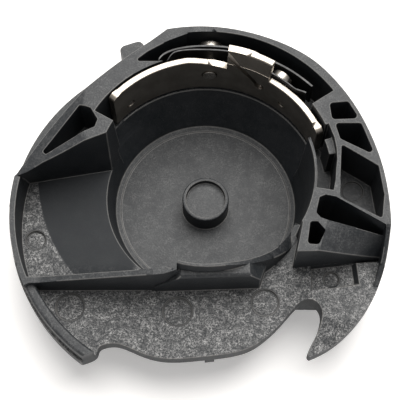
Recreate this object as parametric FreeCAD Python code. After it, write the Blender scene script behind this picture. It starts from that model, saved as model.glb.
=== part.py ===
"""Drop-in bobbin case: one moulded body with a steel thread-tension set.

Millimetres, +Z up. The origin is on the bobbin axis at the underside of the
case. +Y points to the back, where the tension set sits; the thread leaves over
the front shelf at -Y.
"""
import FreeCAD
import Part
import math
import os

V = FreeCAD.Vector
UP = V(0, 0, 1)

# ---------------------------------------------------------------- body levels
FLOOR_Z = 1.6            # bobbin floor above the underside
DECK_Z = 3.5             # underside of the wide deck around the cup
LEFT_SHELF_Z = 5.1
FLANGE_LOW_Z = 5.4       # race flange, 1.8 thick
FLANGE_TOP_Z = 7.2       # also the front shelf
HORN_Z = 8.0
RECESS_Z = 7.0           # floor of the recess beside the horn
LEFT_RIM_Z = 10.0
TOP_Z = 13.1             # main top face

# ------------------------------------------------------------------ body plan
DRUM_X, DRUM_Y = -1.2, -3.1   # hook axis, off the bobbin axis
DRUM_R = 20.9                 # race flange and outer wall
LEFT_RIM_R = 20.6
LEFT_RIM_WIDTH = 0.65
LOW_RIM_WIDTH = 1.15          # its lower front end
DECK_R = 19.8
CUP_R = 12.3
FLOOR_R = 10.1                # flat of the floor
SEAT_R = 10.9                 # foot of the wall around the bobbin
SHELF_MOUTH_R = 11.45         # where the wall meets the left shelf
CAVITY_R = 11.9               # wall at the main top face
POST_R = 2.72                 # hub post under the bobbin bore
POST_TOP_Z = FLOOR_Z + 2.8
POST_DISH_R = 2.3
POST_DISH_DEPTH = 0.7

# --------------------------------------------------------------- tension set
PLATE_IN_R = 13.3
PLATE_T = 0.8
PLATE_OUT_R = PLATE_IN_R + PLATE_T
PLATE_LOW_Z = 7.1
PLATE_TOP_Z = 13.1
PLATE_RIGHT_Z = 12.2          # top of the right-hand end
TAB_TOP_Z = 15.0
PLATE_A0, PLATE_A1 = 21.0, 141.0
TAB_A0, TAB_A1 = 57.5, 79.5
HOLE_Z = 10.1
HOLE_A = 62.5                 # round end of the thread slit
SCREW_A = 88.0                # tension screw, radial
CLAMP_A = 54.5                # leaf clamp screw, radial
CLAMP_Z = 11.0
RIVET_A = 48.7                # leaf rivet, radial
PIN_A = 130.7                 # plate pin, radial
PIN_Z = 9.0                   # height of the rivet and the pin
LEAF_T = 0.22
LEAF_LOW_Z, LEAF_TOP_Z = 8.1, 12.8
BACK_T = 0.3
BACK_LOW_Z, BACK_TOP_Z = 8.6, 12.4
BACK_R = 15.72                 # inner face of the backing leaf
FIT = 0.03


# ----------------------------------------------------------------- primitives
def polar(radius, angle, z=0.0):
    a = math.radians(angle)
    return V(radius * math.cos(a), radius * math.sin(a), z)


def drum_polar(radius, angle, z=0.0):
    return V(DRUM_X, DRUM_Y, 0) + polar(radius, angle, z)


def disc(radius, z0, z1, x=0.0, y=0.0):
    return Part.makeCylinder(radius, z1 - z0, V(x, y, z0), UP)


def drum(radius, z0, z1):
    return disc(radius, z0, z1, DRUM_X, DRUM_Y)


def prism(points, z0, z1):
    loop = [V(x, y, z0) for x, y in points]
    wire = Part.makePolygon(loop + loop[:1])
    return Part.Face(wire).extrude(V(0, 0, z1 - z0))


def rounded_prism(points, z0, z1, radius):
    solid = prism(points, z0, z1)
    upright = [e for e in solid.Edges if abs(e.tangentAt(e.FirstParameter).z) > 0.9]
    return solid.makeFillet(radius, upright)


def side_prism(points, y0, y1):
    """Outline given in X and Z, swept from y0 to y1."""
    loop = [V(x, y0, z) for x, z in points]
    wire = Part.makePolygon(loop + loop[:1])
    return Part.Face(wire).extrude(V(0, y1 - y0, 0))


def revolved(profile, a0, a1, centre=V(0, 0, 0)):
    """Profile given in radius and Z, turned about a vertical axis."""
    loop = [centre + polar(r, a0, z) for r, z in profile]
    wire = Part.makePolygon(loop + loop[:1])
    return Part.Face(wire).revolve(centre, UP, a1 - a0)


def sector(r0, r1, a0, a1, z0, z1, centre=V(0, 0, 0)):
    return revolved([(r0, z0), (r1, z0), (r1, z1), (r0, z1)], a0, a1, centre)


def radial_rod(radius, angle, r0, r1, z):
    return Part.makeCylinder(radius, r1 - r0, polar(r0, angle, z), polar(1, angle))


def fuse(first, others):
    return first.multiFuse(others).removeSplitter()


# ----------------------------------------------------------------------- body
FRONT_EDGE = [
    (-14.6, -21.0), (-13.2, -19.9), (-12.4, -19.6), (-11.8, -19.1), (-11.6, -18.5),
    (-10.9, -18.1), (-9.8, -18.0),
    (-8.7, -18.3), (-7.1, -19.0), (-5.0, -19.6), (-3.3, -19.7), (-0.6, -19.5),
    (3.1, -19.0), (4.7, -18.5), (6.4, -17.4), (8.1, -15.8), (9.7, -14.0),
    (10.4, -13.4), (11.2, -13.2), (12.1, -13.6), (12.6, -14.5), (12.5, -15.6),
    (11.8, -17.4), (11.1, -18.7), (11.0, -19.3), (11.5, -19.6), (12.4, -20.6),
]


# outer edge of the right-hand side: angle about the hook axis, radius
RIGHT_EDGE = [
    (-60, 19.55), (-57, 20.05), (-52, 20.65), (-45, 21.25), (-38, 21.6), (-31, 21.84),
    (-26, 21.92), (-22, 21.88), (-17, 21.72), (-12, 21.45), (-7, 21.23), (0, 21.02), (10, 20.88),
    (21, 20.86), (31, 21.03), (41, 21.27), (51, 21.52), (60, 21.48), (70, 21.35),
    (80, 21.28), (90, 21.2), (100, 21.07), (112, 20.9),
]
RIM_EDGE = [(-26, 21.35), (-22, 21.33), (-17, 21.2), (-12, 20.95), (-9, 20.8)]


def outer_solid(z0, z1):
    """Everything inside the outer edge: round on the left, fuller on the right."""
    edge = Part.BSplineCurve()
    edge.interpolate([drum_polar(r, a, z0) for a, r in RIGHT_EDGE])
    a0, r0 = RIGHT_EDGE[0]
    start = drum_polar(r0, a0, z0)
    end = drum_polar(DRUM_R, 112, z0)
    arc = Part.Arc(end, drum_polar(DRUM_R, 185, z0), drum_polar(DRUM_R, 260, z0))
    close = Part.makeLine(drum_polar(DRUM_R, 260, z0), start)
    wire = Part.Wire([edge.toShape(), arc.toShape(), close])
    front = prism([(-6, -23.6), (4.9, -23.8), (8.6, -20), (8.6, -15), (-6, -15)], z0, z1)
    front = front.common(drum(DRUM_R, z0, z1))
    return fuse(Part.Face(wire).extrude(V(0, 0, z1 - z0)), [front])


def front_cutter():
    """Everything in front of the scalloped shelf edge and the U notch."""
    curve = Part.BSplineCurve()
    curve.interpolate([V(x, y, -1) for x, y in FRONT_EDGE])
    first = V(*FRONT_EDGE[0], -1)
    last = V(*FRONT_EDGE[-1], -1)
    low_right = V(last.x + 2, -30, -1)
    low_left = V(first.x - 4, -30, -1)
    sides = [Part.makeLine(last, low_right), Part.makeLine(low_right, low_left),
             Part.makeLine(low_left, first)]
    wire = Part.Wire([curve.toShape()] + sides)
    return Part.Face(wire).extrude(V(0, 0, 18))


def lower_body():
    cup = disc(CUP_R, 0, FLANGE_LOW_Z + 0.1)
    rim = [e for e in cup.Edges if e.BoundBox.ZMax < 0.01]
    cup = cup.makeChamfer(0.6, rim)
    cup = cup.cut(disc(9.6, -1, 0.35).cut(disc(7.4, -1, 0.35)))
    front = prism([(-25, 25), (25, 25), (25, -13.4), (9.5, -13.2), (6.0, -15.3),
                   (3.0, -17.0), (-8.0, -17.0), (-12.0, -16.2), (-25, -16.2)],
                  DECK_Z, FLANGE_LOW_Z + 0.1)
    deck = drum(DECK_R, DECK_Z, FLANGE_LOW_Z + 0.1).common(front)
    flange = outer_solid(FLANGE_LOW_Z, FLANGE_TOP_Z)
    under_shelf = sector(19, LEFT_RIM_R - 0.1, 160, 212, LEFT_SHELF_Z - 1.0, FLANGE_LOW_Z + 0.1,
                         V(DRUM_X, DRUM_Y, 0))
    return fuse(cup, [deck, flange, under_shelf])


def thin_rim():
    """Everything beyond the inner edge of the thin rim beside the ramp."""
    inner = [drum_polar(r, a) for a, r in RIM_EDGE]
    beyond = [drum_polar(27, a) for a in (-8, -27)]
    return prism([(p.x, p.y) for p in inner + beyond], 0, 30)


def tall_wall():
    """Back and right-hand wall up to the main top face."""
    chord = Part.Arc(V(-21.5, 0.45, 0), V(-13.6, 10.0, 0), V(-6.4, 16.1, 0)).toShape()
    corners = [V(-6.4, 16.1, 0), V(-3.9, 18.2, 0), V(0, 22, 0), V(25, 22, 0),
               V(25, -8.4, 0), V(19.7, -8.5, 0), V(11.75, -9.45, 0), V(9.6, -9.5, 0),
               V(9.85, -8.45, 0), V(10.35, -6.2, 0), V(9.0, -3.0, 0), V(-9.0, 3.0, 0),
               V(-11.2, 2.8, 0), V(-21.5, 0.45, 0)]
    lines = [Part.makeLine(a, b) for a, b in zip(corners, corners[1:])]
    plan = Part.Face(Part.Wire([chord] + lines))
    block = plan.extrude(V(0, 0, TOP_Z - FLANGE_LOW_Z - 0.5))
    block.translate(V(0, 0, FLANGE_LOW_Z + 0.5))
    rim = prism([(15, -7), (26, -7), (26, -13), (15, -13)], FLANGE_LOW_Z + 0.5, TOP_Z)
    block = fuse(block, [rim.common(thin_rim())]).common(outer_solid(0, TOP_Z))
    left_slope = side_prism([(-13.5, TOP_Z), (-21.2, LEFT_RIM_Z), (-30, LEFT_RIM_Z),
                             (-30, 20), (-13.5, 20)], -5, 20)
    drop = Part.Face(Part.makePolygon([V(26, -6.4, TOP_Z), V(26, -11.9, HORN_Z),
                                       V(26, -14, HORN_Z), V(26, -14, 20),
                                       V(26, -6.4, 20), V(26, -6.4, TOP_Z)]))
    drop = drop.extrude(V(-9, 0, 0)).common(thin_rim())
    return block.cut(left_slope).cut(drop)


def ramp_cutter():
    """Twisted surface that falls from the block to the horn."""
    back = Part.makeLine(V(13.05, -5.9, TOP_Z), V(20.0, -6.9, 11.2))
    front = Part.makeLine(V(11.9, -9.8, TOP_Z), V(20.0, -9.15, 6.4))
    over = Part.makeRuledSurface(back, front).extrude(V(0, 0, 20))
    pad_top = Part.makeBox(20, 20, 40, V(5, -20, HORN_Z))
    return over.common(pad_top).cut(thin_rim())


def left_rim():
    centre = V(DRUM_X, DRUM_Y, 0)
    inner = LEFT_RIM_R - LEFT_RIM_WIDTH
    high = sector(inner, LEFT_RIM_R, 169.8, 206.5, FLANGE_LOW_Z + 0.2, LEFT_RIM_Z, centre)
    low = sector(LEFT_RIM_R - LOW_RIM_WIDTH, LEFT_RIM_R, 206, 240, FLANGE_LOW_Z + 0.2, LEFT_RIM_Z - 0.7, centre)
    step = [e for e in low.Edges if e.BoundBox.ZMin > LEFT_RIM_Z - 0.75]
    arcs = [e for e in step if e.Length > 5]
    return [high, low.makeFillet(0.35, arcs)]


def ridge():
    """Straight wall between the left shelf and the front shelf."""
    straight = side_prism([(-19.4, FLANGE_LOW_Z + 0.3), (-19.4, LEFT_RIM_Z), (-18.2, LEFT_RIM_Z),
                           (-5.6, TOP_Z - 0.3), (-5.6, FLANGE_LOW_Z + 0.3)], -12.0, -11.3)
    bend = prism([(-5.7, -12.0), (-4.4, -11.9), (-2.2, -11.2), (-2.2, -10.7), (-3.4, -10.8),
                  (-4.8, -11.2), (-5.7, -11.3)], FLANGE_LOW_Z + 0.3, TOP_Z)
    rise = side_prism([(-5.8, TOP_Z - 0.34), (-2.0, TOP_Z), (-5.8, TOP_Z + 0.2)], -13, -10)
    return straight.fuse(bend.cut(rise))


def front_wall():
    """Wall in front of the bobbin, falling away to the right."""
    profile = [(SEAT_R, FLOOR_Z), (SEAT_R, TOP_Z + 0.1), (SEAT_R + 0.35, TOP_Z + 0.1),
               (SEAT_R + 1.0, FLANGE_TOP_Z), (SEAT_R + 1.0, FLOOR_Z)]
    wall = revolved(profile, -106, -22)
    crest = Part.BSplineCurve()
    stations = [(0.8, TOP_Z + 0.1), (2.6, 12.9), (4.7, 11.7), (5.8, 10.9), (7.0, 9.8),
                (8.3, 8.5), (9.6, FLANGE_TOP_Z + 0.1)]
    crest.interpolate([V(x, -16, z) for x, z in stations])
    end = V(9.6, -16, FLANGE_TOP_Z + 0.1)
    corners = [end, V(20, -16, FLANGE_TOP_Z + 0.1), V(20, -16, 20), V(0.8, -16, 20),
               V(0.8, -16, TOP_Z + 0.1)]
    lines = [Part.makeLine(a, b) for a, b in zip(corners, corners[1:])]
    fall = Part.Face(Part.Wire([crest.toShape()] + lines)).extrude(V(0, 16, 0))
    return wall.cut(fall)


def thread_lip():
    """Low rounded bar the thread is drawn over."""
    plan = [(-5.6, -12.15), (5.9, -11.75), (6.6, -9.6), (3.0, -10.95), (-2.6, -10.95),
            (-5.0, -11.4)]
    bar = prism(plan, FLANGE_LOW_Z + 0.4, TOP_Z - 1.3)
    crest = [e for e in bar.Edges
             if e.BoundBox.ZMin > TOP_Z - 1.35 and e.Length > 10 and e.CenterOfMass.y < -11.5]
    bar = bar.makeFillet(0.45, crest)
    ends = side_prism([(-6, 8.4), (-2.6, TOP_Z - 1.2), (-6, TOP_Z - 1.2)], -13, -9)
    tail = side_prism([(4.6, TOP_Z - 1.2), (6.7, 9.0), (6.7, TOP_Z)], -13, -9)
    return bar.cut(ends).cut(tail)


def horn_pad():
    """Raised pad behind the U notch, with its ramp, recess and tip facet."""
    plan = [(8.9, -9.3), (8.9, -15.4), (10.5, -22), (25, -22), (25, -8.8)]
    pad = prism(plan, FLANGE_LOW_Z + 0.3, HORN_Z).common(outer_solid(0, 20))
    climb = side_prism([(8.8, FLANGE_TOP_Z), (11.7, HORN_Z), (11.7, 20), (8.8, 20)], -23, -9)
    facet = Part.Face(Part.makePolygon([V(9, -15.5, HORN_Z), V(9, -20.6, 6.5), V(9, -23, 6.5),
                                        V(9, -23, 12), V(9, -15.5, 12), V(9, -15.5, HORN_Z)]))
    facet = facet.extrude(V(12, 0, 0))
    return pad.cut(climb).cut(facet)


def horn_recess():
    """Shallow recess in the pad, with sloping ends, in front of the block."""
    top = [(11.55, -9.5), (16.6, -8.92), (16.85, -11.6), (11.55, -12.25)]
    floor = [(11.7, -9.5), (16.2, -8.98), (16.4, -11.3), (11.7, -12.05)]
    loops = []
    for plan, z in ((floor, RECESS_Z), (top, HORN_Z + 0.01)):
        points = [V(x, y, z) for x, y in plan]
        loops.append(Part.makePolygon(points + points[:1]))
    return Part.makeLoft(loops, True, True)


def cavity_cutter():
    profile = [(0, FLOOR_Z), (FLOOR_R - 0.1, FLOOR_Z), (FLOOR_R, FLOOR_Z + 0.12),
               (SEAT_R - 0.25, FLOOR_Z + 0.3), (SEAT_R, FLOOR_Z + 0.9),
               (SHELF_MOUTH_R, LEFT_SHELF_Z), (CAVITY_R, TOP_Z), (CAVITY_R, 20), (0, 20)]
    return revolved(profile, 0, 360)


def left_shelf_cutter():
    """Sunken shelf left of the bobbin; its back wall leans a little."""
    front = [(-5.0, -9.0), (-3.0, -11.3), (-23.0, -11.3)]
    low = [(-23.0, 1.25), (-18.25, 2.1), (-9.0, 3.7)] + front
    high = [(-23.0, -1.8), (-18.25, 1.4), (-9.0, 5.4)] + front
    loops = []
    for points, z in ((low, LEFT_SHELF_Z), (high, TOP_Z + 0.5)):
        loop = [V(x, y, z) for x, y in points]
        loops.append(Part.makePolygon(loop + loop[:1]))
    wedge = Part.makeLoft(loops, True, True)
    inner = LEFT_RIM_R - LEFT_RIM_WIDTH
    return wedge.common(drum(inner, 0, 20))


def tension_pocket():
    """Room for the plate, the leaves and the screw heads in the back wall."""
    plate_room = sector(10, PLATE_OUT_R + 0.25, 18.5, 150, PLATE_LOW_Z - 0.4, 20)
    flare = revolved([(8, FLOOR_Z + 0.9), (SEAT_R, FLOOR_Z + 0.9),
                      (PLATE_IN_R - 0.1, PLATE_LOW_Z - 0.4), (8, PLATE_LOW_Z - 0.4)], 18.5, 152)
    spring_room = sector(13.5, 17.35, 34, 97, PLATE_LOW_Z - 0.4, 20)
    taper = rounded_prism([(-8.1, 13.5), (-6.6, 14.75), (-4.2, 16.2), (-2.2, 17.05), (1.0, 17.0),
                           (1.0, 13.5)], PLATE_LOW_Z - 0.4, 20, 0.2)
    gap_wall = [(-10, 14.05), (-5, 14.15), (0, 14.22), (5, 14.45), (10, 14.62), (15, 14.72),
                (22, 14.75)]
    gap_plan = [polar(r, a) for a, r in gap_wall]
    gap_plan += [polar(12.2, a) for a in range(22, -11, -4)]
    rib_gap = prism([(p.x, p.y) for p in gap_plan], FLANGE_TOP_Z, 20)
    return [plate_room, flare, spring_room, taper, rib_gap]


POCKETS = [
    # left triangular pocket
    ([(-14.2, 8.0), (-12.9, 7.5), (-12.1, 6.1), (-12.4, 5.2), (-17.9, 2.6), (-18.3, 3.0),
      (-17.2, 4.3)], 0.2, FLANGE_TOP_Z),
    # right-hand row behind the rib
    ([(13.9, 8.1), (16.0, 8.3), (17.1, 6.2), (14.1, 6.1)], 0.4, FLANGE_TOP_Z),
    ([(14.4, 5.6), (17.3, 5.6), (18.6, 1.7), (14.9, 3.7)], 0.35, FLANGE_TOP_Z),
    ([(15.0, 3.0), (18.9, 0.4), (19.3, -3.0), (18.9, -5.7), (15.0, -3.6), (14.5, -3.2)], 0.2,
     FLANGE_TOP_Z),
    # dark wedge and the small window beside the bobbin
    ([(12.3, -3.3), (13.0, -3.0), (14.1, -3.25), (19.3, -6.45), (19.3, -7.0), (13.05, -5.95),
      (12.3, -5.65), (11.86, -5.1)], 0.15, FLANGE_LOW_Z + 0.6),
    ([(11.2, -6.1), (12.0, -6.1), (12.8, -7.1), (12.0, -8.7), (10.8, -8.6)], 0.3,
     FLANGE_LOW_Z + 0.6),
]

# ejector marks: x, y, radius, level
MARKS = [(-14.9, -13.9, 1.55, FLANGE_TOP_Z), (-3.1, -14.4, 1.6, FLANGE_TOP_Z),
         (6.5, -13.4, 1.5, FLANGE_TOP_Z), (-19.45, -5.4, 1.13, LEFT_SHELF_Z),
         (16.8, -0.2, 1.2, FLANGE_TOP_Z), (13.9, -10.7, 0.85, RECESS_Z)]
MARK_DEPTH = 0.3


def pin_hole():
    return [radial_rod(0.45 + FIT, PIN_A, 13, 16.2, PIN_Z)]


def side_details():
    """Stop lug, foot nub and the small ledge beside the plate."""
    lug = sector(19, 23.3, 106, 113.5, 4.4, 7.9, V(DRUM_X, DRUM_Y, 0))
    corner = [e for e in lug.Edges if abs(e.tangentAt(e.FirstParameter).z) > 0.9
              and e.CenterOfMass.distanceToPoint(V(DRUM_X, DRUM_Y, 6.15)) > 22]
    lug = lug.makeFillet(0.7, corner)
    nub = disc(0.55, 4.4, 5.6, 0.4, -19.55)
    return [lug, nub]


def case_body():
    body = fuse(lower_body(), [tall_wall()] + left_rim() + [horn_pad()])
    cuts = [ramp_cutter(), horn_recess()] + tension_pocket()
    body = body.cut(left_shelf_cutter())
    body = fuse(body, [ridge()])
    body = body.cut(Part.makeCompound([cavity_cutter()]))
    for cutter in cuts:
        body = body.cut(cutter)
    for outline, radius, floor in POCKETS:
        body = body.cut(rounded_prism(outline, floor, 20, radius))
    rib_ledge = sector(13.85, 14.8, 9.2, 17.0, FLANGE_TOP_Z - 0.1, TOP_Z - 1.0)
    additions = [front_wall(), thread_lip(), rib_ledge] + side_details()
    post = disc(POST_R, FLOOR_Z - 0.1, POST_TOP_Z)
    crown = [e for e in post.Edges if e.BoundBox.ZMin > POST_TOP_Z - 0.01]
    post = post.makeFillet(0.2, crown)
    body = fuse(body, additions + [post])
    body = body.cut(disc(POST_DISH_R, POST_TOP_Z - POST_DISH_DEPTH, POST_TOP_Z + 1))
    for x, y, radius, level in MARKS:
        body = body.cut(disc(radius, level - MARK_DEPTH, level + 0.3, x, y))
    for hole in pin_hole():
        body = body.cut(hole)
    return body.cut(front_cutter()).removeSplitter()


# ---------------------------------------------------------------- tension set
def tension_plate():
    band = sector(PLATE_IN_R, PLATE_OUT_R, PLATE_A0, PLATE_A1, PLATE_LOW_Z, PLATE_TOP_Z)
    dip = side_prism([(-2.0, PLATE_TOP_Z), (2.6, PLATE_TOP_Z - 1.2), (2.6, 16), (-2.0, 16)],
                     12, 15)
    lean = 0.6
    tab = revolved([(PLATE_IN_R, PLATE_TOP_Z - 1.4), (PLATE_OUT_R, PLATE_TOP_Z - 1.4),
                    (PLATE_OUT_R, LEAF_TOP_Z + 0.2), (PLATE_OUT_R + lean, TAB_TOP_Z),
                    (PLATE_IN_R + lean, TAB_TOP_Z), (PLATE_IN_R, LEAF_TOP_Z + 0.2)],
                   TAB_A0, TAB_A1)
    plate = fuse(band.cut(dip), [tab])
    low_end = sector(12, 16, PLATE_A0 - 5, TAB_A0, PLATE_RIGHT_Z, 20)
    plate = plate.cut(low_end)
    tips = [e for e in plate.Edges if e.Length < PLATE_T + 0.05 and e.BoundBox.ZLength < 0.01
            and e.CenterOfMass.z > 11 and abs(e.CenterOfMass.y) < 9.5]
    plate = plate.makeFillet(0.7, tips).cut(slit_cutter())
    for angle, radius, z in ((SCREW_A, 0.8, HOLE_Z), (RIVET_A, 0.42, PIN_Z), (PIN_A, 0.45, PIN_Z)):
        plate = plate.cut(radial_rod(radius + FIT, angle, 12, 16, z))
    plate = plate.cut(radial_rod(0.7 + FIT, CLAMP_A, PLATE_IN_R + 0.25, 16, CLAMP_Z))
    return plate.cut(radial_rod(0.55, HOLE_A, 12, 16, HOLE_Z))


def slit_cutter():
    """Oblique thread slit from the top edge down to its round end."""
    steps = 6
    width = 0.42
    pieces = []
    for i in range(steps):
        t0, t1 = i / steps, (i + 1) / steps
        a = TAB_A1 + 1.0 + (HOLE_A - TAB_A1 - 1.0) * t0
        b = TAB_A1 + 1.0 + (HOLE_A - TAB_A1 - 1.0) * t1
        za = 14.7 + (HOLE_Z - 14.7) * t0
        zb = 14.7 + (HOLE_Z - 14.7) * t1
        low = [polar(12.5, a, za - width), polar(12.5, b, zb - width),
               polar(12.5, b, zb + width), polar(12.5, a, za + width)]
        high = [polar(15.0, a, za - width), polar(15.0, b, zb - width),
                polar(15.0, b, zb + width), polar(15.0, a, za + width)]
        pieces.append(Part.makeLoft([Part.makePolygon(low + low[:1]),
                                     Part.makePolygon(high + high[:1])], True, True))
    return fuse(pieces[0], pieces[1:])


def leaf_strip(stations, thickness, z0, z1):
    """Thin strip along (angle, inner radius) stations."""
    inner = Part.BSplineCurve()
    inner.interpolate([polar(r, a, z0) for a, r in stations])
    outer = Part.BSplineCurve()
    outer.interpolate([polar(r + thickness, a, z0) for a, r in stations])
    (a0, r0), (a1, r1) = stations[0], stations[-1]
    ends = [Part.makeLine(polar(r1, a1, z0), polar(r1 + thickness, a1, z0)),
            Part.makeLine(polar(r0 + thickness, a0, z0), polar(r0, a0, z0))]
    wire = Part.Wire(Part.__sortEdges__([inner.toShape(), ends[0], outer.toShape(), ends[1]]))
    return Part.Face(wire).extrude(V(0, 0, z1 - z0))


def tension_leaf():
    base = PLATE_OUT_R + FIT
    stations = [(40, base + 0.6), (42.5, base + 0.28), (44.5, base + 0.06), (46, base),
                (48, base), (50, base), (52, base), (54, base), (56, base), (58, base),
                (60, base + 0.03), (62, base + 0.12), (68, base + 0.5), (75, base + 0.85),
                (82, base + 0.92), (92, base + 0.92), (101, base + 1.05), (104, base + 0.95),
                (106, base + 0.6), (108.5, base + 0.02)]
    strip = leaf_strip(stations, LEAF_T, LEAF_LOW_Z, LEAF_TOP_Z)
    strip = strip.cut(radial_rod(1.0, SCREW_A, 13, 16, HOLE_Z))
    strip = strip.cut(radial_rod(0.42 + FIT, RIVET_A, 13, 16, PIN_Z))
    return strip.cut(radial_rod(0.7 + FIT, CLAMP_A, 13, 16, CLAMP_Z))


def adjusting_leaf():
    stations = [(41, 15.95), (44, 15.9), (53, 15.8), (62, 15.7), (75, BACK_R), (88, BACK_R),
                (98, 15.7), (104, 15.62), (108, 15.4), (111.5, 14.8)]
    strip = leaf_strip(stations, BACK_T, BACK_LOW_Z, BACK_TOP_Z)
    return strip.cut(radial_rod(0.9, SCREW_A, 14, 18, HOLE_Z))


def slotted_screw(angle, z, shank_r, head_r, tip, seat, head_t, slot_turn):
    shank = radial_rod(shank_r, angle, tip, seat + 0.1, z)
    head = radial_rod(head_r, angle, seat, seat + head_t, z)
    rim = [e for e in head.Edges if e.Length > 2
           and math.hypot(e.CenterOfMass.x, e.CenterOfMass.y) > seat + head_t - 0.02]
    head = head.makeFillet(0.2, rim)
    slot = Part.makeBox(0.7, 0.4, 6, V(seat + head_t - 0.45, -0.2, -3))
    slot.rotate(V(0, 0, 0), V(1, 0, 0), slot_turn)
    slot.translate(V(0, 0, z))
    slot.rotate(V(0, 0, 0), UP, angle)
    return fuse(shank, [head]).cut(slot)


def tension_screw():
    seat = BACK_R + BACK_T + FIT
    return slotted_screw(SCREW_A, HOLE_Z, 0.8, 1.6, PLATE_IN_R - 0.15, seat, 1.0, 75)


def clamp_screw():
    seat = PLATE_OUT_R + FIT + LEAF_T + FIT
    return slotted_screw(CLAMP_A, CLAMP_Z, 0.7, 1.25, PLATE_IN_R + 0.3, seat, 1.1, 60)


def leaf_rivet():
    seat = PLATE_OUT_R + FIT + LEAF_T + FIT
    shank = radial_rod(0.42, RIVET_A, PLATE_IN_R + 0.12, seat + 0.1, PIN_Z)
    return fuse(shank, [radial_rod(0.7, RIVET_A, seat, seat + 0.25, PIN_Z)])


def plate_pin():
    return radial_rod(0.45, PIN_A, PLATE_IN_R + 0.12, 16.1, PIN_Z)


PARTS = {
    "case_body": case_body,
    "tension_plate": tension_plate,
    "tension_leaf": tension_leaf,
    "adjusting_leaf": adjusting_leaf,
    "tension_screw": tension_screw,
    "clamp_screw": clamp_screw,
    "leaf_rivet": leaf_rivet,
    "plate_pin": plate_pin,
}

os.makedirs("parts", exist_ok=True)
for name, make in PARTS.items():
    shape = make()
    if shape.ShapeType == "Compound" and len(shape.Solids) == 1:
        shape = shape.Solids[0]
    shape.exportStep("parts/" + name + ".step")
    box = shape.BoundBox
    print(name, len(shape.Solids), shape.isValid(), round(shape.Volume, 1),
          [round(v, 2) for v in (box.XMin, box.XMax, box.YMin, box.YMax, box.ZMin, box.ZMax)])
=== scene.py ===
import math
import bmesh
import bpy
from mathutils import Matrix, Vector
from mathutils.bvhtree import BVHTree


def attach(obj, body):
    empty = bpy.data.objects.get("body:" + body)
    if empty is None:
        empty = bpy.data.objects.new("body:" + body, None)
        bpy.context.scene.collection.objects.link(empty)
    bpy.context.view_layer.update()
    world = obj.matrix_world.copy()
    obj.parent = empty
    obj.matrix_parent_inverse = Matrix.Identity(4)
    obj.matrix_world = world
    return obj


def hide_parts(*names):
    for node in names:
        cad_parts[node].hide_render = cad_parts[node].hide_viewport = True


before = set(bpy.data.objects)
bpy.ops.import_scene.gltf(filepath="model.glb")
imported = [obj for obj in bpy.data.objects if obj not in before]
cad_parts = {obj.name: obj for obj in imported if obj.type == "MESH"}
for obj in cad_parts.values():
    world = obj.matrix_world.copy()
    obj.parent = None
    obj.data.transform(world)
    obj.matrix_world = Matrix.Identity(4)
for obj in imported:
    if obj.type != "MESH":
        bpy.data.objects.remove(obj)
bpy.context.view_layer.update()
scene = bpy.context.scene

MM = 0.001


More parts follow.
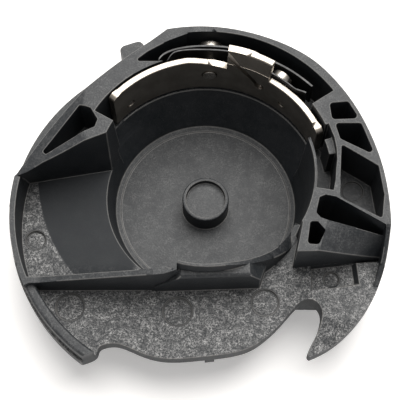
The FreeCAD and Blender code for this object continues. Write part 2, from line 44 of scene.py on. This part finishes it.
# ------------------------------------------------------------------ node helpers
class Tree:
    """Short-hand for building one material's node tree. Lengths inside are in mm."""

    def __init__(self, name):
        self.material = bpy.data.materials.new(name)
        self.material.use_nodes = True
        self.nodes = self.material.node_tree.nodes
        self.links = self.material.node_tree.links
        self.nodes.clear()
        out = self.nodes.new("ShaderNodeOutputMaterial")
        self.shader = self.nodes.new("ShaderNodeBsdfPrincipled")
        self.links.new(self.shader.outputs[0], out.inputs[0])
        coords = self.nodes.new("ShaderNodeTexCoord")
        in_mm = self.nodes.new("ShaderNodeVectorMath")
        in_mm.operation = "SCALE"
        in_mm.inputs["Scale"].default_value = 1 / MM
        self.links.new(coords.outputs["Object"], in_mm.inputs[0])
        self.place = in_mm.outputs["Vector"]
        geometry = self.nodes.new("ShaderNodeNewGeometry")
        self.facing_up = self.split(geometry.outputs["Normal"])[2]

    def link(self, value, socket):
        if isinstance(value, bpy.types.NodeSocket):
            self.links.new(value, socket)
        else:
            socket.default_value = value

    def math(self, operation, a, b=0.0):
        node = self.nodes.new("ShaderNodeMath")
        node.operation = operation
        self.link(a, node.inputs[0])
        self.link(b, node.inputs[1])
        return node.outputs[0]

    def distance(self, a, b):
        node = self.nodes.new("ShaderNodeVectorMath")
        node.operation = "DISTANCE"
        self.link(a, node.inputs[0])
        self.link(b, node.inputs[1])
        return node.outputs["Value"]

    def split(self, vector):
        node = self.nodes.new("ShaderNodeSeparateXYZ")
        self.link(vector, node.inputs[0])
        return node.outputs[0], node.outputs[1], node.outputs[2]

    def join(self, x, y, z):
        node = self.nodes.new("ShaderNodeCombineXYZ")
        for value, socket in zip((x, y, z), node.inputs):
            self.link(value, socket)
        return node.outputs[0]

    def turned(self, vector, angle, stretch):
        node = self.nodes.new("ShaderNodeMapping")
        self.link(vector, node.inputs["Vector"])
        node.inputs["Rotation"].default_value = angle
        node.inputs["Scale"].default_value = stretch
        return node.outputs[0]

    def noise(self, vector, scale, detail, roughness):
        node = self.nodes.new("ShaderNodeTexNoise")
        self.link(vector, node.inputs["Vector"])
        node.inputs["Scale"].default_value = scale
        node.inputs["Detail"].default_value = detail
        node.inputs["Roughness"].default_value = roughness
        return node.outputs["Fac"]

    def band(self, value, low, high, to_low=0.0, to_high=1.0):
        """Value remapped smoothly from low..high to to_low..to_high."""
        node = self.nodes.new("ShaderNodeMapRange")
        node.interpolation_type = "SMOOTHSTEP"
        self.link(value, node.inputs["Value"])
        for name, number in (("From Min", low), ("From Max", high),
                             ("To Min", to_low), ("To Max", to_high)):
            self.link(number, node.inputs[name])
        return node.outputs["Result"]

    def mixed(self, factor, a, b):
        """Number that goes from a to b with factor."""
        part = self.math("MULTIPLY", factor, self.math("SUBTRACT", b, a))
        return self.math("ADD", a, part)

    def mix(self, factor, a, b):
        """Colour that goes from a to b with factor."""
        node = self.nodes.new("ShaderNodeMix")
        node.data_type = "RGBA"
        self.link(factor, node.inputs["Factor"])
        for value, socket in ((a, node.inputs["A"]), (b, node.inputs["B"])):
            if isinstance(value, tuple):
                value = (*value, 1.0)
            self.link(value, socket)
        return node.outputs["Result"]

    def bump(self, height, depth, strength):
        node = self.nodes.new("ShaderNodeBump")
        node.inputs["Strength"].default_value = strength
        node.inputs["Distance"].default_value = depth * MM
        self.link(height, node.inputs["Height"])
        self.links.new(node.outputs[0], self.shader.inputs["Normal"])

    def set(self, **values):
        for name, value in values.items():
            self.link((*value, 1.0) if isinstance(value, tuple) else value,
                      self.shader.inputs[name.replace("_", " ")])


# ----------------------------------------------------------- moulded case, in mm
# A pair of numbers is where a zone begins and where it is fully there.
FRONT_SHELF_Y = (-8.0, -9.5)
FRONT_SHELF_Z = (9.0, 7.6)
LEFT_SHELF_X = (-7.5, -8.5)
LEFT_SHELF_UNDER = (5.5, 5.2)
LEFT_SHELF_OVER = (4.5, 4.8)
# Inside this arc the left shelf is satin and is painted darker: painted shade.
ARC_CENTRE = (0.45, 3.41, 0.0)         # the left shelf is satin inside this arc
ARC_OUTSIDE = (19.95, 20.2)
ARC_INSIDE = (20.2, 19.95)

# ejector marks: x, y and radius
MARKS = [(-14.9, -13.9, 1.55), (-3.1, -14.4, 1.6), (6.5, -13.4, 1.5), (-19.45, -5.4, 1.13),
         (16.8, -0.2, 1.2), (13.9, -10.7, 0.85)]
# Width of the painted shade round each ejector mark's rim.
MARK_RIM_SHADE = (0.19, 0.10)                # distance from the mark's edge
NOT_UNDERNEATH = (-0.3, -0.05)         # upward part of the normal
FIBRE_STRETCH = (3.2, 8.5, 8.5)


def product(t, first, *others):
    """Product of two or more masks."""
    for other in others:
        first = t.math("MULTIPLY", first, other)
    return first


def fibres(t):
    """Short glass fibres lying in every direction just under the skin."""
    found = None
    for k, tilt in enumerate((0.0, 0.8, 1.6, 2.4)):
        lie = t.turned(t.place, (0.3 * k, 0.2 * k, tilt), FIBRE_STRETCH)
        streak = t.noise(lie, 1.0, 1.0, 0.4)
        found = streak if found is None else t.math("MAXIMUM", found, streak)
    return t.band(found, 0.64, 0.80)


def painted_mark_rim_shade(t, x, y):
    """Painted shade round the rims of the ejector marks, where the fleck is left out."""
    found = None
    for mark_x, mark_y, radius in MARKS:
        away = t.distance(t.join(x, y, 0.0), (mark_x, mark_y, 0.0))
        rim_shade = t.band(t.math("ABSOLUTE", t.math("SUBTRACT", away, radius)), *MARK_RIM_SHADE)
        found = rim_shade if found is None else t.math("MAXIMUM", found, rim_shade)
    return product(t, found, t.band(t.facing_up, *NOT_UNDERNEATH))


def floor_zones(t, x, y, z):
    """Masks of the rough floors, which get more pale fleck as painted sheen, and of the satin part
    of the left shelf, which gets painted shade.
    """
    front = product(t, t.band(y, *FRONT_SHELF_Y), t.band(z, *FRONT_SHELF_Z))
    shelf = product(t, t.band(x, *LEFT_SHELF_X), t.band(z, *LEFT_SHELF_UNDER),
                    t.band(z, *LEFT_SHELF_OVER))
    from_centre = t.distance(t.join(x, y, 0.0), ARC_CENTRE)
    left = product(t, t.band(from_centre, *ARC_OUTSIDE), shelf)
    satin_and_shade = product(t, t.band(from_centre, *ARC_INSIDE), shelf)
    return t.math("MAXIMUM", front, left), satin_and_shade


def moulding(name, dark, light, fleck, gloss):
    """Filled plastic: a dark ground with pale flecks, fibres and a fine grain; the flecks carry
    painted highlight and painted shade.
    """
    t = Tree(name)
    x, y, z = t.split(t.place)
    mottle = t.noise(t.place, 0.45, 4.0, 0.6)
    cloud = t.noise(t.place, 1.1, 3.0, 0.6)
    grain = t.noise(t.place, 4.2, 4.0, 0.75)
    sand = t.noise(t.place, 7.5, 2.0, 0.6)
    rough, satin_and_shade = floor_zones(t, x, y, z)
    rim_shades = painted_mark_rim_shade(t, x, y)

    specks = t.math("ADD", t.math("MULTIPLY", grain, 0.6), t.math("MULTIPLY", sand, 0.4))
    flecks = t.math("MAXIMUM", t.band(specks, 0.42, 0.68), t.math("MULTIPLY", fibres(t), 0.7))
    patchy = t.math("MULTIPLY", flecks, t.band(cloud, 0.3, 0.7, 0.30, 1.25))
    # Painted light in the fleck: it shows only on upward faces as painted highlight, comes much
    # stronger on the rough floors (partly their coarser grain, partly painted sheen), and is left
    # out in the satin arc and on the mark rims as painted shade.
    amount = product(t, patchy, t.band(t.facing_up, 0.3, 0.9, 0.03, 1.0),
                     t.mixed(rough, 0.17, 0.86), t.band(satin_and_shade, 0.0, 1.0, 1.0, 0.1),
                     t.math("SUBTRACT", 1.0, rim_shades))

    ground = t.mix(t.band(mottle, 0.3, 0.7), dark, light)
    worn = t.math("ADD", t.math("MULTIPLY", grain, 0.14), t.math("MULTIPLY", rough, 0.12))
    worn = t.math("ADD", worn, t.math("MULTIPLY", t.math("ADD", satin_and_shade, rim_shades), 0.22))
    t.set(Base_Color=t.mix(amount, ground, fleck),
          Roughness=t.math("ADD", t.band(mottle, 0.2, 0.8, gloss, gloss + 0.12), worn),
          IOR=1.5, Specular_IOR_Level=0.5)
    height = t.math("ADD", t.math("MULTIPLY", grain, 0.7), t.math("MULTIPLY", sand, 0.3))
    t.bump(t.math("MULTIPLY", height, t.band(satin_and_shade, 0.0, 1.0, 1.0, 0.3)), 0.05, 0.8)
    return t.material


# ------------------------------------------------------------------------ metals
BAND_R = 14.0                          # mm, to turn angles round the bobbin axis into lengths
DRAWN_ALONG = 1.2
DRAWN_ACROSS = 22.0
SPOT_COLOUR = (0.25, 0.21, 0.17)
SHADE_COLOUR = (0.05, 0.05, 0.045)


def nickel(name, bright, tint, rough):
    """Plated strip, drawn round the bobbin axis, with painted shade on its upright faces."""
    t = Tree(name)
    x, y, z = t.split(t.place)
    turn = t.math("ARCTAN2", y, x)
    wrapped = t.join(t.math("MULTIPLY", turn, BAND_R * DRAWN_ALONG),
                     t.math("MULTIPLY", z, DRAWN_ACROSS), 0.0)
    drawn = t.noise(wrapped, 1.0, 3.0, 0.6)
    cloud = t.noise(t.place, 0.5, 3.0, 0.6)
    spots = t.band(t.noise(t.place, 4.0, 2.0, 0.5), 0.66, 0.78)
    base = t.mix(t.band(cloud, 0.3, 0.7), tint, bright)
    base = t.mix(t.math("MULTIPLY", spots, 0.35), base, SPOT_COLOUR)
    # Painted shade: faces that do not face up are mixed a quarter toward SHADE_COLOUR.
    base = t.mix(t.band(t.facing_up, 0.15, 0.7), t.mix(0.25, base, SHADE_COLOUR), base)
    t.set(Base_Color=base, Metallic=1.0,
          Roughness=t.math("ADD", t.band(drawn, 0.3, 0.7, rough, rough + 0.14),
                           t.math("MULTIPLY", spots, 0.15)))
    t.bump(drawn, 0.006, 0.5)
    return t.material


def turned_steel(name, bright, tint, rough):
    """Small turned and plated parts, with a fine grain and rubbed patches."""
    t = Tree(name)
    fine = t.noise(t.place, 9.0, 3.0, 0.6)
    cloud = t.noise(t.place, 1.4, 3.0, 0.6)
    t.set(Base_Color=t.mix(t.band(cloud, 0.35, 0.65), tint, bright), Metallic=1.0,
          Roughness=t.band(fine, 0.3, 0.7, rough, rough + 0.15))
    t.bump(fine, 0.006, 0.5)
    return t.material


case_skin = moulding("case_skin", (0.006, 0.0085, 0.0110), (0.013, 0.015, 0.018),
                     (0.44, 0.435, 0.43), 0.40)
# The case's rounded corners take a lighter copy of the moulding: painted highlight along the
# edges.
case_edge_highlight = moulding("case_edge_highlight", (0.075, 0.075, 0.075), (0.120, 0.118, 0.115),
                     (0.36, 0.35, 0.34), 0.32)
plate_skin = nickel("plate_skin", (0.50, 0.455, 0.405), (0.36, 0.325, 0.28), 0.31)
# Darker copy of the plating for the band's rounded corners: painted shade that dulls the glint on
# its edges.
plate_edge_shaded = nickel("plate_edge_shaded", (0.40, 0.365, 0.325), (0.31, 0.28, 0.245), 0.34)
leaf_skin = nickel("leaf_skin", (0.08, 0.08, 0.08), (0.05, 0.05, 0.05), 0.42)
# Darker copy for the leaves' rounded corners: painted shade that dulls the glint on their edges.
leaf_edge_shaded = nickel("leaf_edge_shaded", (0.045, 0.045, 0.047), (0.03, 0.03, 0.032), 0.5)
screw_skin = turned_steel("screw_skin", (0.50, 0.47, 0.43), (0.36, 0.33, 0.29), 0.24)
# Darker copy for the screws' rounded corners: painted shade on their edges.
screw_edge_shaded = turned_steel("screw_edge_shaded", (0.42, 0.40, 0.37), (0.34, 0.32, 0.29), 0.30)


# --------------------------------------------------------- rounded pieces, in mm
SHARP = math.radians(26)               # an edge bent more than this is a corner
WELD = 0.0004                          # points closer than this are one
COPLANAR = math.radians(0.05)          # faces this near one plane are joined
LONG_CORNER = 1.2                      # a longer corner is cut into shorter ones
CORNER_STEP = 0.8
FACE_SHARE = 0.42                      # part of a face that the rounding of one edge may take
EDGE_SHARE = 0.45                      # part of an edge that the rounding at its end may take
LEAST_ROOM = 0.6                       # radii of room below which a corner stays sharp
STRAIGHT_ON = -0.8                     # cosine between two edges that run on as one
STRAY = 0.8                            # radii off the CAD surface where a point is a stray
FOLD_REACH = 1.3                       # radii round a fold in which corners stay sharp
ATTEMPTS = 5

LEAF_END_X = 8.3                       # the clamped end of the spring strip
LEAF_INNER_R = 14.25                   # its face against the band lies inside this radius
LEAF_EASE = 0.015


def reach(face, edge, sharp):
    """How far a face runs inward from one of its edges before it meets another corner."""
    ends = [v.co for v in edge.verts]
    along = (ends[1] - ends[0]).normalized()
    inward = face.normal.cross(along)
    loop = next(l for l in face.loops if l.edge is edge)
    if (loop.link_loop_next.vert.co - loop.vert.co).dot(along) < 0:
        inward.negate()
    nearest = max((v.co - ends[0]).dot(inward) for v in face.verts)
    for part in (0.15, 0.5, 0.85):
        start = ends[0].lerp(ends[1], part)
        for other in face.loops:
            if other.edge is edge or other.edge not in sharp:
                continue
            p = other.vert.co - start
            q = other.link_loop_next.vert.co - start
            px, qx = p.dot(along), q.dot(along)
            if (px > 0) == (qx > 0):
                continue
            distance = p.dot(inward) - (q - p).dot(inward) * px / (qx - px)
            if distance > 1e-4:
                nearest = min(nearest, distance)
    return nearest


def corner_weights(bm, radius):
    """Bevel weights that leave room on narrow faces and at short corners."""
    weights = bm.edges.layers.float.new("bevel_weight_edge")
    sharp = {e for e in bm.edges if len(e.link_faces) == 2 and e.calc_face_angle(0.0) > SHARP}
    for e in sharp:
        room = FACE_SHARE * min(reach(f, e, sharp) for f in e.link_faces)
        e[weights] = min(1.0, room / radius) if room > LEAST_ROOM * radius else 0.0
    for v in bm.verts:
        meeting = [e for e in v.link_edges if e in sharp]
        rays = [(e.other_vert(v).co - v.co).normalized() for e in meeting]
        if any(a.dot(b) > STRAIGHT_ON for i, a in enumerate(rays) for b in rays[:i]):
            limit = EDGE_SHARE * min(e.calc_length() for e in meeting) / radius
            for e in meeting:
                e[weights] = min(e[weights], limit)
    for e in sharp:
        e.smooth = e[weights] > 0.0


def cleaned_mesh(node):
    """A CAD node's mesh in mm with flat faces joined, and the tree of its surface."""
    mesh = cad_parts[node].data.copy()
    mesh.transform(Matrix.Scale(1 / MM, 4))
    bm = bmesh.new()
    bm.from_mesh(mesh)
    bmesh.ops.remove_doubles(bm, verts=bm.verts, dist=WELD)
    tree = BVHTree.FromBMesh(bm)
    bmesh.ops.dissolve_limit(bm, angle_limit=COPLANAR, verts=bm.verts, edges=bm.edges,
                             use_dissolve_boundaries=False)
    for e in bm.edges:
        e.smooth = True
    long_corners = [e for e in bm.edges
                    if e.calc_face_angle(0.0) > SHARP and e.calc_length() > LONG_CORNER]
    for e in long_corners:
        bmesh.ops.subdivide_edges(bm, edges=[e], cuts=int(e.calc_length() / CORNER_STEP))
    return bm, tree


def bevelled(piece, radius, tree):
    """The piece's mesh with its weighted corners rounded and no point off the surface."""
    bevel = piece.modifiers.new("corners", "BEVEL")
    bevel.limit_method = "WEIGHT"
    bevel.width = radius
    bevel.segments = 2
    bevel.use_clamp_overlap = False
    bevel.loop_slide = False
    # Rounded corners take the second material: a lighter copy on the case (painted highlight) and
    # darker copies on the metals (painted shade).
    bevel.material = 1
    weighted = piece.modifiers.new("shading", "WEIGHTED_NORMAL")
    weighted.weight = 60
    weighted.keep_sharp = True
    bpy.context.view_layer.update()
    shaped = bpy.data.meshes.new_from_object(
        piece.evaluated_get(bpy.context.evaluated_depsgraph_get()))
    piece.modifiers.clear()
    for v in shaped.vertices:
        near, _, _, distance = tree.find_nearest(v.co)
        if distance > STRAY * radius:
            v.co = near
    return shaped


def folded_spots(mesh, tree):
    """Centres of faces that a corner has pushed inside out or crossed over."""
    mesh.calc_loop_triangles()
    spots = []
    drawn = {}
    for t in mesh.loop_triangles:
        drawn[t.polygon_index] = drawn.get(t.polygon_index, 0.0) + t.area
    for p in mesh.polygons:
        _, normal, _, _ = tree.find_nearest(p.center)
        turned_over = normal.dot(p.normal) < 0.2
        crossed = drawn[p.index] - p.area > 0.03 * p.area + 2e-4
        if p.area > 1e-6 and (turned_over or crossed):
            spots.append(p.center.copy())
    return spots


def sharpen_near(bm, weights, spots, span):
    """Leave the corners sharp that pass within span of a fold."""
    for e in bm.edges:
        if e[weights] == 0.0:
            continue
        start, end = (v.co for v in e.verts)
        along = end - start
        for spot in spots:
            part = max(0.0, min(1.0, (spot - start).dot(along) / along.length_squared))
            if (start + along * part - spot).length < span:
                e[weights] = 0.0
                e.smooth = False
                break


def dressed_back(mesh):
    """The clamped end of the spring strip, eased off the band so that it clears when it lifts."""
    for v in mesh.vertices:
        out = math.hypot(v.co.x, v.co.y)
        if v.co.x > LEAF_END_X and out < LEAF_INNER_R:
            v.co.x *= 1 + LEAF_EASE / out
            v.co.y *= 1 + LEAF_EASE / out


def rounded_piece(node, body, slot, name, radius, skin, edge):
    """Clean copy of a CAD node with softened corners, which stands for it in the picture."""
    bm, tree = cleaned_mesh(node)
    corner_weights(bm, radius)
    bmesh.ops.triangulate(bm, faces=bm.faces)
    for f in bm.faces:
        f.smooth = True
        f.material_index = 0
    weights = bm.edges.layers.float["bevel_weight_edge"]
    clean = bpy.data.meshes.new(name)
    clean.materials.append(skin)
    clean.materials.append(edge)
    piece = bpy.data.objects.new(name, clean)
    scene.collection.objects.link(piece)
    for _ in range(ATTEMPTS):
        bm.to_mesh(clean)
        shaped = bevelled(piece, radius, tree)
        spots = folded_spots(shaped, tree)
        if not spots:
            break
        sharpen_near(bm, weights, spots, FOLD_REACH * radius)
    bm.free()
    if node == "tension_leaf":
        dressed_back(shaped)
    shaped.transform(Matrix.Scale(MM, 4))
    piece.data = shaped
    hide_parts(node)
    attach(piece, body)


# node, body, material slot, name, corner radius, material, material of the rounded corners
PIECES = [
    ("case_body", "case", "moulding", "moulded_case", 0.10, case_skin, case_edge_highlight),
    ("tension_plate", "case", "plated_steel", "plated_tension_band", 0.14, plate_skin, plate_edge_shaded),
    ("tension_leaf", "tension_leaf", "spring_steel", "sprung_leaf", 0.05, leaf_skin, leaf_edge_shaded),
    ("adjusting_leaf", "case", "spring_steel", "backing_leaf", 0.06, leaf_skin, leaf_edge_shaded),
    ("tension_screw", "tension_screw", "screw_steel", "slotted_tension_screw", 0.08,
     screw_skin, screw_edge_shaded),
    ("clamp_screw", "case", "screw_steel", "slotted_clamp_screw", 0.08, screw_skin, screw_edge_shaded),
    ("leaf_rivet", "case", "screw_steel", "headed_leaf_rivet", 0.07, screw_skin, screw_edge_shaded),
    ("plate_pin", "case", "screw_steel", "driven_plate_pin", 0.07, screw_skin, screw_edge_shaded),
]
for entry in PIECES:
    rounded_piece(*entry)


# ---------------------------------------------------------- stage, light, camera
FLOOR_SIZE = 3.0                       # half its width, m
FLOOR_DROP = 0.02 * MM                 # keeps the floor off the underside of the case
LIGHT_PLACE = (0.05, 0.16, 0.34)
LIGHT_SIZE = 0.40
LIGHT_POWER = 2.3
CAMERA_TARGET = (-0.00065, 0.00099, 0.0016)
CAMERA_DISTANCE = 0.125
CAMERA_ELEVATION = 68


def make_floor():
    t = Tree("floor_paper")
    cloud = t.noise(t.place, 0.01, 3.0, 0.5)
    t.set(Base_Color=t.mix(cloud, (0.90, 0.885, 0.88), (0.94, 0.93, 0.925)), Roughness=0.7,
          Emission_Color=(1.0, 0.99, 0.98), Emission_Strength=0.26)
    bm = bmesh.new()
    bmesh.ops.create_grid(bm, x_segments=4, y_segments=4, size=FLOOR_SIZE)
    mesh = bpy.data.meshes.new("floor")
    bm.to_mesh(mesh)
    bm.free()
    mesh.materials.append(t.material)
    floor = bpy.data.objects.new("floor", mesh)
    floor.location.z = -FLOOR_DROP
    scene.collection.objects.link(floor)


def make_light():
    """One large soft lamp behind and to the right, aimed at the case."""
    data = bpy.data.lights.new("key", "AREA")
    data.shape = "DISK"
    data.size = LIGHT_SIZE
    data.energy = LIGHT_POWER
    data.color = (1.0, 0.985, 0.96)
    light = bpy.data.objects.new("key", data)
    light.location = LIGHT_PLACE
    aim = -Vector(LIGHT_PLACE)
    light.rotation_euler = aim.to_track_quat("-Z", "Y").to_euler()
    scene.collection.objects.link(light)


def make_world():
    world = bpy.data.worlds.new("studio")
    world.use_nodes = True
    back = world.node_tree.nodes["Background"]
    back.inputs["Color"].default_value = (1.0, 0.99, 0.98, 1)
    back.inputs["Strength"].default_value = 0.42
    scene.world = world


def make_camera():
    data = bpy.data.cameras.new("camera")
    data.sensor_fit = "HORIZONTAL"
    data.sensor_width = 36
    data.lens = 93.85
    data.clip_start = 0.01
    data.clip_end = 20
    camera = bpy.data.objects.new("camera", data)
    elevation = math.radians(CAMERA_ELEVATION)
    towards = Vector((0, -math.cos(elevation), math.sin(elevation)))
    camera.location = Vector(CAMERA_TARGET) + CAMERA_DISTANCE * towards
    camera.rotation_euler = (math.radians(90 - CAMERA_ELEVATION), 0, 0)
    scene.collection.objects.link(camera)
    scene.camera = camera


make_floor()
make_world()
make_light()
make_camera()
scene.view_settings.view_transform = "Standard"
